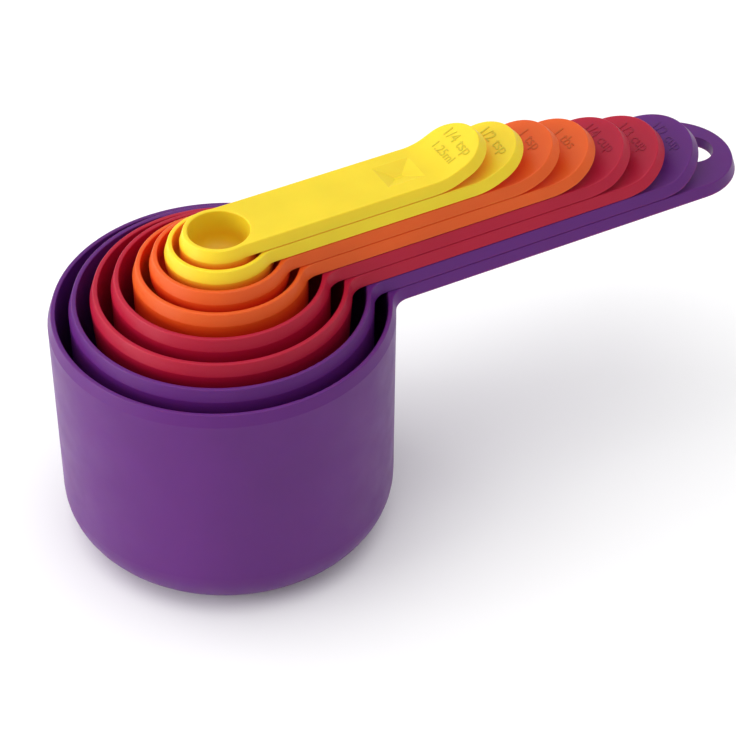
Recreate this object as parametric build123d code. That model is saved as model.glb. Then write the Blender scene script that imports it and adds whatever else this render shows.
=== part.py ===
from build123d import *
import math
import os
from collections import namedtuple

# Nesting measuring cup set: four cups and four spoons of satin plastic, each a one-piece moulding.
# They nest by size, and their handles stack like leaves, each smaller piece one layer higher.
# Frame: origin at the centre of the largest cup's foot, +X along the handles, +Z up.
# Lengths are in mm, capacities in ml, angles in degrees.

# ---- driving dimensions: rim band and walls, shared by all eight pieces ----
LAYER_PITCH = 2.96        # height from one piece's rim to the next smaller piece's rim
LAYER_GAP = 0.2           # clearance between one handle and the handle it lies on
RIM_LAND = 1.0            # width of the flat top of the rim
BAND_FLARE = 0.85         # how much wider the band is at its lower edge than at its top
FLOOR = 1.8               # bowl floor
WALL_DRAFT = 0.46         # least draft of a bowl's wall
LEAST_SIDE = 0.2          # least drafted height left between a bowl's rounded corner and its band
FLOOR_CLEARANCE = 0.5     # least space between one bowl's floor and the bowl standing in it
RIM_ROUND = 0.3           # rounding of the rim's inner edge
TOP_ROUND = 0.35          # rounding of the band's and handle's upper edge

# ---- driving dimensions: handles ----
HANDLE_INSET = 0.26       # the smallest handle's sides lie this far inside its bowl's sides
LAYER_LEDGE = 0.07        # step from one handle's lower edge out to the next one's top edge
SHOULDER_RADIUS = 5.75    # plan rounding between bowl and handle, at the top face
BEND_AFTER_DIMPLE = 0.4   # smallest piece: end of its dimple to the start of its bend
REACH_STEP = 9.58         # each larger piece's tab stands out by this much more
BEND_BEFORE_END = 1.2     # upturned tabs: start of the bend to the start of the widest one's round end
FLICK_RADIUS = 12.8       # upturned tab: bend radius of its top face
FLICK_ANGLE = 25.2        # upturned tab: slope of its flat end

# ---- driving dimensions: the flat hanging end of the largest cup's handle ----
HANG_BEYOND = 12.2        # how far it reaches past the longest upturned tab
HANG_HOLE_RADIUS = 5.3
HANG_HOLE_FROM_END = 9.0  # hole centre to the end of the handle

# ---- driving dimensions: the snap dimples that keep the stacked handles in line ----
DIMPLE_FROM_BOWL = 1.14   # largest bowl's band to the dimples' near edge
DIMPLE_LENGTH = 9.3
DIMPLE_WIDTH = 8.0
DIMPLE_DEPTH = 1.3
DIMPLE_FLOOR_WIDTH = 1.0  # its four sides slope evenly down to a small flat floor
DIMPLE_CLEARANCE = 0.12   # between a boss and the dimple that it sits in

# ---- driving dimensions: unstacking ----
LIFT_CLEARANCE = 5.0      # a piece is out when its bowl is this far above the bowl it came from

# ---- driving dimensions: the pieces, largest first ----
# ring_gap is the space between a piece's band and the rim of the next larger piece.
SMALLEST_RIM_RADIUS = 6.84
Piece = namedtuple("Piece", "name capacity_ml ring_gap corner_radius")
PIECES = [
    Piece("one_cup", 240.0, None, 9.6),
    Piece("half_cup", 120.0, 3.00, 8.0),
    Piece("third_cup", 80.0, 3.02, 6.0),
    Piece("quarter_cup", 60.0, 2.99, 4.0),
    Piece("tablespoon", 15.0, 3.04, 6.0),
    Piece("teaspoon", 5.0, 1.98, 5.0),
    Piece("half_teaspoon", 2.5, 1.59, 4.0),
    Piece("quarter_teaspoon", 1.25, 1.55, 3.0),
]

# ---- sizes that follow from them ----
LAST = len(PIECES) - 1
THICKNESS = LAYER_PITCH - LAYER_GAP
WALL = RIM_LAND + BAND_FLARE     # the bowl wall carries on from the band's lower edge
SIDE_DRAFT = math.degrees(math.atan(BAND_FLARE / THICKNESS))
FLICK_RUN = FLICK_RADIUS * math.sin(math.radians(FLICK_ANGLE))
FLICK_RISE = FLICK_RADIUS * (1 - math.cos(math.radians(FLICK_ANGLE)))


def rim_radius(layer):
    """Inner radius of a bowl's rim: the smallest one, and the rings that lie around it."""
    return SMALLEST_RIM_RADIUS + sum(piece.ring_gap + WALL for piece in PIECES[layer + 1:])


def volume_ml(layer, depth, draft):
    """Level capacity of a bowl: thin discs of its drafted wall, rounded at the floor."""
    corner = PIECES[layer].corner_radius
    slices = 400
    step = depth / slices
    volume = 0.0
    for index in range(slices):
        height = (index + 0.5) * step
        radius = rim_radius(layer) - (depth - height) * math.tan(math.radians(draft))
        if height < corner:
            radius -= corner - math.sqrt(corner**2 - (corner - height)**2)
        volume += math.pi * radius**2 * step
    return volume / 1000


def solve(low, high, too_small):
    """The value between low and high where too_small turns from true to false."""
    for _ in range(40):
        middle = (low + high) / 2
        if too_small(middle):
            low = middle
        else:
            high = middle
    return high


def bowl_shape(layer):
    """Depth and draft at which a bowl holds its capacity and the next smaller bowl fits in it."""
    capacity = PIECES[layer].capacity_ml
    corner = PIECES[layer].corner_radius
    depth = solve(corner, 4 * rim_radius(layer), lambda d: volume_ml(layer, d, WALL_DRAFT) < capacity)
    if layer == LAST:
        return depth, WALL_DRAFT
    smaller_depth = bowl_shape(layer + 1)[0]
    least_depth = smaller_depth + FLOOR - LAYER_PITCH + FLOOR_CLEARANCE
    if depth >= least_depth:
        return depth, WALL_DRAFT
    draft = solve(WALL_DRAFT, 30.0, lambda d: volume_ml(layer, least_depth, d) > capacity)
    return least_depth, draft


SHAPES = [bowl_shape(layer) for layer in range(len(PIECES))]
DIMPLE_CENTRE = rim_radius(0) + WALL + DIMPLE_FROM_BOWL + DIMPLE_LENGTH / 2
RIM_HEIGHT = SHAPES[0][0] + FLOOR    # the largest cup's rim, above its foot


def rim_z(layer):
    return RIM_HEIGHT + layer * LAYER_PITCH


def half_width(layer):
    """Half of a handle's width at its top face: the stack's sides make one even slope."""
    narrowest = SMALLEST_RIM_RADIUS + RIM_LAND - HANDLE_INSET
    return narrowest + (LAST - layer) * (BAND_FLARE + LAYER_LEDGE)


TAB_RUN = half_width(1) + BEND_BEFORE_END    # start of a tab's bend to its tip, in plan


def tab_reach(layer):
    """Bowl centre to tab tip, for the pieces that lie on the largest cup."""
    bend_start = DIMPLE_CENTRE + DIMPLE_LENGTH / 2 + BEND_AFTER_DIMPLE
    return bend_start + TAB_RUN + (LAST - layer) * REACH_STEP


def hang_reach():
    """Bowl centre to the end of the largest cup's handle."""
    return tab_reach(1) + HANG_BEYOND


def bowl_and_bar(layer, bar_length):
    """Plan outline at the band's lower edge: the bowl's circle, and the handle running out of it."""
    bowl_radius = rim_radius(layer) + WALL
    bar_half_width = half_width(layer) + BAND_FLARE
    bar = Pos(bar_length / 2, 0) * Rectangle(bar_length, 2 * bar_half_width)
    outline = Circle(bowl_radius) + bar
    corners = [v for v in outline.vertices() if 0.1 < v.X < bowl_radius and abs(v.Y) > 1.0]
    return fillet(corners, SHOULDER_RADIUS - BAND_FLARE)


def hanging_outline():
    """Plan outline of the largest cup: its handle ends round."""
    end_radius = half_width(0) + BAND_FLARE
    end_x = hang_reach() - half_width(0)
    return bowl_and_bar(0, end_x) + Pos(end_x, 0) * Circle(end_radius)


def tab_height(run):
    """How far a tab's top face is above its handle's, at a plan distance past the bend's start."""
    if run < 0:
        return 0.0
    if run < FLICK_RUN:
        return FLICK_RADIUS - math.sqrt(FLICK_RADIUS**2 - run**2)
    return FLICK_RISE + (run - FLICK_RUN) * math.tan(math.radians(FLICK_ANGLE))


def end_plane(layer):
    """Where a tab's round end is centred: x points to the tip, z out of the top face."""
    radius = half_width(layer)

    def chord_start(tilt):
        return TAB_RUN - radius * math.cos(math.radians(tilt))

    def chord_is_steeper(tilt):
        start = chord_start(tilt)
        rise = tab_height(TAB_RUN) - tab_height(start)
        return math.degrees(math.atan2(rise, TAB_RUN - start)) > tilt

    tilt = solve(0.0, FLICK_ANGLE, chord_is_steeper)
    start = chord_start(tilt)
    x = tab_reach(layer) - TAB_RUN + start
    along = (math.cos(math.radians(tilt)), 0, math.sin(math.radians(tilt)))
    out = (-math.sin(math.radians(tilt)), 0, math.cos(math.radians(tilt)))
    return Plane(origin=(x, 0, rim_z(layer) + tab_height(start)), x_dir=along, z_dir=out)


def outside_round_end(layer):
    """What is cut from a tab's end: all that lies past a flaring cone on the handle's width."""
    above = 6.0
    below = 8.0
    radius = half_width(layer)
    spread = math.tan(math.radians(SIDE_DRAFT))
    cone = Cone(radius + below * spread, radius - above * spread, above + below)
    cone = Pos(0, 0, (above - below) / 2) * cone
    past_centre = Box(4 * radius, 4 * radius, above + below, align=(Align.MIN, Align.CENTER, Align.CENTER))
    return end_plane(layer) * (Pos(0, 0, (above - below) / 2) * past_centre - cone)


def upturned_plate(layer):
    """Band and handle of a smaller piece: flat, then bent upwards, then flat to its round end."""
    bend_x = tab_reach(layer) - TAB_RUN
    top = half_width(layer)
    low = top + BAND_FLARE
    spare = 5.0
    slab = extrude(bowl_and_bar(layer, bend_x + spare), THICKNESS, taper=SIDE_DRAFT)
    slab = Pos(0, 0, rim_z(layer) - THICKNESS) * slab
    beyond = Pos(bend_x, 0, rim_z(layer)) * Box(100, 100, 20, align=(Align.MIN, Align.CENTER, Align.CENTER))
    across = Plane(origin=(bend_x, 0, rim_z(layer)), x_dir=(0, 1, 0), z_dir=(1, 0, 0))
    corners = [(-low, -THICKNESS), (low, -THICKNESS), (top, 0), (-top, 0)]
    section = across * make_face(Polyline(*corners, close=True))
    hinge_line = Axis((bend_x, 0, rim_z(layer) + FLICK_RADIUS), (0, -1, 0))
    bend = revolve(section, hinge_line, FLICK_ANGLE)
    tilted = section.rotate(hinge_line, FLICK_ANGLE)
    straight = extrude(tilted, TAB_RUN + spare)
    return (slab - beyond) + bend + straight - outside_round_end(layer)


def flat_plate():
    """Band and handle of the largest cup."""
    slab = extrude(hanging_outline(), THICKNESS, taper=SIDE_DRAFT)
    return Pos(0, 0, rim_z(0) - THICKNESS) * slab


def outline_edges(plate):
    """The edges round a plate's top face."""
    faces = [f for f in plate.faces() if f.normal_at().Z > 0.8]
    edges = [e for f in faces for e in f.edges()]
    return [e for e in edges if sum(e.is_same(other) for other in edges) == 1]


def rounded_plate(plate):
    return fillet(outline_edges(plate), TOP_ROUND)


def bowl_profile(top_z, floor_z, top_radius, draft, corner_radius):
    """Half section of a bowl shape: drafted side and a rounded corner at the flat floor."""
    low_radius = top_radius - (top_z - floor_z) * math.tan(math.radians(draft))
    points = [(0, 0, top_z), (0, 0, floor_z), (low_radius, 0, floor_z), (top_radius, 0, top_z)]
    face = make_face(Polyline(*points, close=True))
    corner = [v for v in face.vertices() if v.X > 0.1 and v.Z < floor_z + 0.1]
    return fillet(corner, corner_radius)


def bowl_shell(layer):
    """Bowl below the band, still solid: side wall, rounded corner and floor."""
    depth, draft = SHAPES[layer]
    low_edge = rim_z(layer) - THICKNESS
    floor_z = rim_z(layer) - depth - FLOOR
    corner = min(PIECES[layer].corner_radius + WALL, low_edge - floor_z - LEAST_SIDE)
    profile = bowl_profile(low_edge, floor_z, rim_radius(layer) + WALL, draft, corner)
    return revolve(profile, Axis.Z)


def bowl_hollow(layer):
    depth, draft = SHAPES[layer]
    top_z = rim_z(layer)
    corner = PIECES[layer].corner_radius
    return revolve(bowl_profile(top_z, top_z - depth, rim_radius(layer), draft, corner), Axis.Z)


def rounded_rim(cup, layer):
    """Rounds the inner edge of the rim."""
    rims = [
        e for e in cup.edges().filter_by(GeomType.CIRCLE)
        if abs(e.radius - rim_radius(layer)) < 0.01 and abs(e.center().Z - rim_z(layer)) < 0.01
    ]
    return fillet(rims, RIM_ROUND)


def dimple(layer_z, shrink, depth):
    """The sunk shape of a snap dimple, narrowing downwards from a handle's surface."""
    slope_run = (min(DIMPLE_LENGTH, DIMPLE_WIDTH) - DIMPLE_FLOOR_WIDTH) / 2
    slope = math.degrees(math.atan(slope_run / DIMPLE_DEPTH))
    outline = Rectangle(DIMPLE_LENGTH - 2 * shrink, DIMPLE_WIDTH - 2 * shrink)
    sunk = extrude(outline, depth, taper=slope)
    return Pos(DIMPLE_CENTRE, 0, layer_z) * (Rot(180, 0, 0) * sunk)


def largest_cup():
    cup = rounded_plate(flat_plate()) + bowl_shell(0) - bowl_hollow(0)
    cup = rounded_rim(cup, 0)
    hole_x = hang_reach() - HANG_HOLE_FROM_END
    cup -= Pos(hole_x, 0, rim_z(0) - THICKNESS / 2) * Cylinder(HANG_HOLE_RADIUS, 3 * THICKNESS)
    cup -= dimple(rim_z(0), 0, DIMPLE_DEPTH)
    return cup


def smaller_piece(layer):
    cup = rounded_plate(upturned_plate(layer)) + bowl_shell(layer) - bowl_hollow(layer)
    cup = rounded_rim(cup, layer)
    cup -= dimple(rim_z(layer), 0, DIMPLE_DEPTH)
    cup += dimple(rim_z(layer) - THICKNESS, DIMPLE_CLEARANCE, DIMPLE_DEPTH - DIMPLE_CLEARANCE)
    return cup


def lift_travel(layer):
    """How far a piece slides up out of the next larger one until it is clear of it."""
    return SHAPES[layer][0] + FLOOR - LAYER_PITCH + LIFT_CLEARANCE


os.makedirs("parts", exist_ok=True)
for layer, piece in enumerate(PIECES):
    cup = largest_cup() if layer == 0 else smaller_piece(layer)
    solid = cup.solid()
    solid.label = piece.name
    export_step(solid, f"parts/{piece.name}.step")
    print(f"{piece.name}: depth {SHAPES[layer][0]:.2f}, draft {SHAPES[layer][1]:.2f}, "
          f"rim radius {rim_radius(layer):.2f} at {rim_z(layer):.2f}, travel {lift_travel(layer):.1f}")
print(f"hang reach {hang_reach():.2f}, dimple centre {DIMPLE_CENTRE:.2f}, "
      f"widths {half_width(0):.2f} to {half_width(LAST):.2f}, reach {tab_reach(LAST):.2f}")
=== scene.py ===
import math

import bpy
from mathutils import Matrix, Vector


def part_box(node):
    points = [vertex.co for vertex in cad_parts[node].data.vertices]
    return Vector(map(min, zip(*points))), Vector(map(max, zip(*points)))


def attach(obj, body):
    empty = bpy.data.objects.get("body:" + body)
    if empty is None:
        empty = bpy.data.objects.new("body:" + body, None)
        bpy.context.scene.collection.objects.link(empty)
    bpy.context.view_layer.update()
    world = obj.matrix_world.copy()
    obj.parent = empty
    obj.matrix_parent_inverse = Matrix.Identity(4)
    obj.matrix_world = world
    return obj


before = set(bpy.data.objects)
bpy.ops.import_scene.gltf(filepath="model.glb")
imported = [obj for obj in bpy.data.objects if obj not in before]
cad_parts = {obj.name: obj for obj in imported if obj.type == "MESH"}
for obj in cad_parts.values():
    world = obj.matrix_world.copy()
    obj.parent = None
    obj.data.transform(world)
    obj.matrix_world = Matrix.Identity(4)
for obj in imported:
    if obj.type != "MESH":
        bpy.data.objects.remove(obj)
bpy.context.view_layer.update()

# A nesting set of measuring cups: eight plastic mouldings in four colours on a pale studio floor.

MM = 0.001

# ---- the pieces, largest first: CAD node, colour, measure and metric mark ----
# The largest cup's marks would lie under the next tab, so it has none.
PIECES = [
    ("one_cup", "purple", ()),
    ("half_cup", "purple", ("1/2 cup", "120ml")),
    ("third_cup", "red", ("1/3 cup", "80ml")),
    ("quarter_cup", "red", ("1/4 cup", "60ml")),
    ("tablespoon", "orange", ("1 tbs", "15ml")),
    ("teaspoon", "orange", ("1 tsp", "5ml")),
    ("half_teaspoon", "yellow", ("1/2 tsp", "2.5ml")),
    ("quarter_teaspoon", "yellow", ("1/4 tsp", "1.25ml")),
]
TOP_PIECE = PIECES[-1][0]

# ---- measure marks: raised lettering on the upturned tabs ----
MARK_SIZE = 3.8 * MM
METRIC_SIZE = 3.1 * MM
MARK_HEIGHT = 0.10 * MM
MARK_FROM_TIP = 6.2 * MM
METRIC_FROM_TIP = 9.9 * MM         # on the top piece
METRIC_UNDER_NEXT_TAB = 11.8 * MM  # on the others
LETTER_CURVE_STEPS = 4
RAY_START = 10 * MM                # above the piece

# ---- plastic: the open colour of each moulding, and the painted bounce light colour it turns to in narrow gaps ----
COLOURS = {
    "purple": ((0.097, 0.0107, 0.154), (0.105, 0.0110, 0.160)),
    "red": ((0.368, 0.0044, 0.0286), (0.400, 0.0040, 0.0300)),
    "orange": ((0.640, 0.0925, 0.009), (0.800, 0.0350, 0.0060)),
    "yellow": ((0.750, 0.565, 0.020), (0.920, 0.2600, 0.0150)),
}
# painted shade: the marks' colour is darkened by this factor to stand in for the shade of the lettering's
# relief
MARK_PAINTED_SHADE = 0.78
REFRACTION = 1.49
SPECULAR = 0.25
GLOW = 0.35
GLOW_RADIUS = (1.0, 0.4, 0.1)
GLOW_SCALE = 2.0 * MM
NOISE_RANGE = (0.3, 0.7)           # the part of a noise's values that is used
CLOUD_SCALE = 60.0
CLOUD_DETAIL = 3.0
CLOUD_DARKEST = 0.95
CLOUD_LIGHTEST = 1.05
SMEAR_SCALE = 140.0
SMEAR_DETAIL = 5.0
ROUGHNESS_RANGE = (0.36, 0.46)
GRAIN_SCALE = 2600.0
GRAIN_DETAIL = 2.0
GRAIN_STRENGTH = 0.12
GRAIN_DEPTH = 0.02 * MM
# painted bounce light in narrow gaps: how far the nearness of other surfaces is sensed, with how many rays,
# and over what range it blends
PAINTED_BOUNCE_REACH = 7.0 * MM
PAINTED_BOUNCE_SAMPLES = 6
PAINTED_BOUNCE_RANGE = (0.15, 0.8)        # from wholly the painted bounce colour to wholly the open colour

# ---- camera: turned from the handles, looking down at the largest cup's rim ----
CAMERA_YAW = 28.4
CAMERA_PITCH = 40.0
CAMERA_LENS = 131.8
CAMERA_SENSOR = 36.0
CAMERA_NEAR = 10 * MM
CAMERA_DISTANCE = 581.7 * MM
CAMERA_AIM = Vector((18.05, -34.9, 0.0)) * MM    # from the centre of the largest cup's rim

# ---- soft lights: yaw and height angle from the camera's side, distance, width, watts ----
LIGHTS = {
    "low_left": (-70, 12, 1.2, 0.7, 8.2),
    "behind_left": (-105, 42, 1.2, 0.8, 3.2),
    "overhead": (0, 89, 1.4, 1.4, 8.1),
}
LIGHT_TARGET = Vector((0.03, 0, 0.05))
WORLD_STRENGTH = 0.753

# ---- floor ----
FLOOR_HALF_WIDTH = 4.0
FLOOR_GREY = 0.93
FLOOR_ROUGHNESS = 0.7


def noise(tree, scale, detail):
    node = tree.nodes.new("ShaderNodeTexNoise")
    node.inputs["Scale"].default_value = scale
    node.inputs["Detail"].default_value = detail
    coordinates = tree.nodes.new("ShaderNodeTexCoord")
    tree.links.new(coordinates.outputs["Object"], node.inputs["Vector"])
    return node.outputs["Fac"]


def remapped(tree, value, from_range, to_range=(0.0, 1.0)):
    """A value spread from one range over another, and held at its ends."""
    node = tree.nodes.new("ShaderNodeMapRange")
    node.inputs["From Min"].default_value, node.inputs["From Max"].default_value = from_range
    node.inputs["To Min"].default_value, node.inputs["To Max"].default_value = to_range
    tree.links.new(value, node.inputs["Value"])
    return node.outputs["Result"]


def clouded(tree, colour):
    """The colour with faint darker and lighter clouds."""
    node = tree.nodes.new("ShaderNodeValToRGB")
    darker, lighter = node.color_ramp.elements
    darker.position, lighter.position = NOISE_RANGE
    darker.color = (*[c * CLOUD_DARKEST for c in colour], 1)
    lighter.color = (*[c * CLOUD_LIGHTEST for c in colour], 1)
    tree.links.new(noise(tree, CLOUD_SCALE, CLOUD_DETAIL), node.inputs["Fac"])
    return node.outputs["Color"]


def painted_bounce_in_gaps(tree, open_colour, painted_bounce_colour):
    """A blend towards the painted bounce colour where other surfaces are near.

    It is painted light, standing in for light that has bounced from piece to piece in a narrow gap.
    """
    nearness = tree.nodes.new("ShaderNodeAmbientOcclusion")
    nearness.samples = PAINTED_BOUNCE_SAMPLES
    nearness.inputs["Distance"].default_value = PAINTED_BOUNCE_REACH
    blend = tree.nodes.new("ShaderNodeMixRGB")
    blend.inputs["Color1"].default_value = (*painted_bounce_colour, 1)
    tree.links.new(remapped(tree, nearness.outputs["AO"], PAINTED_BOUNCE_RANGE), blend.inputs["Fac"])
    tree.links.new(open_colour, blend.inputs["Color2"])
    return blend.outputs["Color"]


def moulded_plastic(name, colour, painted_bounce_colour):
    """Satin plastic: faint clouding of the colour and gloss, and a fine moulded grain."""
    material = bpy.data.materials.new(name)
    material.use_nodes = True
    tree = material.node_tree
    shader = tree.nodes["Principled BSDF"]
    shader.inputs["IOR"].default_value = REFRACTION
    shader.inputs["Specular IOR Level"].default_value = SPECULAR
    shader.inputs["Subsurface Weight"].default_value = GLOW
    shader.inputs["Subsurface Radius"].default_value = GLOW_RADIUS
    shader.inputs["Subsurface Scale"].default_value = GLOW_SCALE

    # painted bounce light: the clouded colour turns to the painted bounce colour where other surfaces are
    # near
    tint = painted_bounce_in_gaps(tree, clouded(tree, colour), painted_bounce_colour)
    tree.links.new(tint, shader.inputs["Base Color"])

    smears = noise(tree, SMEAR_SCALE, SMEAR_DETAIL)
    tree.links.new(remapped(tree, smears, NOISE_RANGE, ROUGHNESS_RANGE), shader.inputs["Roughness"])

    bump = tree.nodes.new("ShaderNodeBump")
    bump.inputs["Strength"].default_value = GRAIN_STRENGTH
    bump.inputs["Distance"].default_value = GRAIN_DEPTH
    tree.links.new(noise(tree, GRAIN_SCALE, GRAIN_DETAIL), bump.inputs["Height"])
    tree.links.new(bump.outputs["Normal"], shader.inputs["Normal"])
    return material


def make_materials():
    """Each colour's plastic, and a darker one for its marks, whose darkness is painted shade of the
    lettering's relief.
    """
    materials = {}
    for name, (colour, painted_bounce_colour) in COLOURS.items():
        materials[name] = moulded_plastic(f"{name}_plastic", colour, painted_bounce_colour)
        # painted shade: the lettering is darker than its plastic to stand in for the shade of its relief
        painted_shade_mark_colour = [c * MARK_PAINTED_SHADE for c in colour]
        materials[f"{name}_mark"] = moulded_plastic(f"{name}_mark", painted_shade_mark_colour, painted_shade_mark_colour)
    return materials


def surface_under(node, x):
    """The point and normal of a node's upper surface on the handle's centre line, at x."""
    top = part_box(node)[1].z + RAY_START
    hit, point, normal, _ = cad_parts[node].ray_cast(Vector((x, 0, top)), Vector((0, 0, -1)))
    if not hit:
        raise ValueError(f"no surface of {node} at x = {x}")
    return point, normal


def letters_mesh(name, words, size, point, normal):
    """Flat-topped lettering that stands on the surface at the point, read from the bowl's side."""
    curve = bpy.data.curves.new(name, "FONT")
    curve.body = words
    curve.size = size
    curve.align_x = "CENTER"
    curve.align_y = "CENTER"
    curve.extrude = MARK_HEIGHT
    curve.resolution_u = LETTER_CURVE_STEPS
    text = bpy.data.objects.new(curve.name, curve)
    across = Vector((0, -1, 0))
    turn = Matrix((across, normal.cross(across), normal)).transposed()
    text.matrix_world = Matrix.Translation(point) @ turn.to_4x4()
    bpy.context.scene.collection.objects.link(text)
    bpy.context.view_layer.update()
    mesh = bpy.data.meshes.new_from_object(text.evaluated_get(bpy.context.evaluated_depsgraph_get()))
    mesh.transform(text.matrix_world)
    bpy.data.objects.remove(text)
    return mesh


def raise_mark(node, colour, words, size, from_tip):
    """A line of lettering on the tab, which rides with it."""
    point, normal = surface_under(node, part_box(node)[1].x - from_tip)
    mesh = letters_mesh(f"{node}_mark", words, size, point, normal)
    mesh.materials.clear()
    mesh.materials.append(MATERIALS[f"{colour}_mark"])
    mark = bpy.data.objects.new(f"{node}_mark_{words.split()[0].replace('/', '_')}", mesh)
    bpy.context.scene.collection.objects.link(mark)
    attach(mark, node)


def letter_tab(node, colour, measure, metric):
    """The measure near the tab's tip, and the metric measure behind it."""
    raise_mark(node, colour, measure, MARK_SIZE, MARK_FROM_TIP)
    from_tip = METRIC_FROM_TIP if node == TOP_PIECE else METRIC_UNDER_NEXT_TAB
    raise_mark(node, colour, metric, METRIC_SIZE, from_tip)


def dress(node, colour):
    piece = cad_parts[node]
    piece.data.materials.clear()
    piece.data.materials.append(MATERIALS[colour])


def make_floor():
    size = FLOOR_HALF_WIDTH
    mesh = bpy.data.meshes.new("floor")
    corners = [(-size, -size, 0), (size, -size, 0), (size, size, 0), (-size, size, 0)]
    mesh.from_pydata(corners, [], [(0, 1, 2, 3)])
    floor = bpy.data.objects.new("floor", mesh)
    bpy.context.scene.collection.objects.link(floor)
    paint = bpy.data.materials.new("floor")
    paint.use_nodes = True
    shader = paint.node_tree.nodes["Principled BSDF"]
    shader.inputs["Base Color"].default_value = (FLOOR_GREY, FLOOR_GREY, FLOOR_GREY, 1)
    shader.inputs["Roughness"].default_value = FLOOR_ROUGHNESS
    mesh.materials.append(paint)


def aim(thing, target):
    direction = target - thing.location
    thing.rotation_euler = direction.to_track_quat("-Z", "Y").to_euler()


def from_camera_side(yaw, height_angle, distance, target):
    """A place round the target: yaw 0 is the camera's side, positive to its right."""
    heading = math.radians(-90 - CAMERA_YAW + yaw)
    level = math.radians(height_angle)
    out = Vector((math.cos(heading) * math.cos(level), math.sin(heading) * math.cos(level), math.sin(level)))
    return target + out * distance


def area_light(name, yaw, height_angle, distance, size, power):
    data = bpy.data.lights.new(name, "AREA")
    data.size = size
    data.energy = power
    light = bpy.data.objects.new(name, data)
    light.location = from_camera_side(yaw, height_angle, distance, LIGHT_TARGET)
    bpy.context.scene.collection.objects.link(light)
    aim(light, LIGHT_TARGET)


def make_lights():
    for name, settings in LIGHTS.items():
        area_light(name, *settings)
    world = bpy.data.worlds.new("studio")
    world.use_nodes = True
    background = world.node_tree.nodes["Background"]
    background.inputs["Color"].default_value = (1.0, 1.0, 1.0, 1)
    background.inputs["Strength"].default_value = WORLD_STRENGTH
    bpy.context.scene.world = world


def make_camera():
    data = bpy.data.cameras.new("camera")
    data.lens = CAMERA_LENS
    data.sensor_width = CAMERA_SENSOR
    data.clip_start = CAMERA_NEAR
    camera = bpy.data.objects.new("camera", data)
    bpy.context.scene.collection.objects.link(camera)
    rim = Vector((0, 0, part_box("one_cup")[1].z))
    target = rim + CAMERA_AIM
    yaw = math.radians(CAMERA_YAW)
    pitch = math.radians(CAMERA_PITCH)
    view = Vector((math.cos(pitch) * math.sin(yaw), math.cos(pitch) * math.cos(yaw), -math.sin(pitch)))
    camera.location = target - view * CAMERA_DISTANCE
    aim(camera, target)
    bpy.context.scene.camera = camera


MATERIALS = make_materials()
for node, colour, marks in PIECES:
    dress(node, colour)
    if marks:
        letter_tab(node, colour, *marks)
make_floor()
make_lights()
make_camera()
bpy.context.scene.view_settings.view_transform = "Standard"
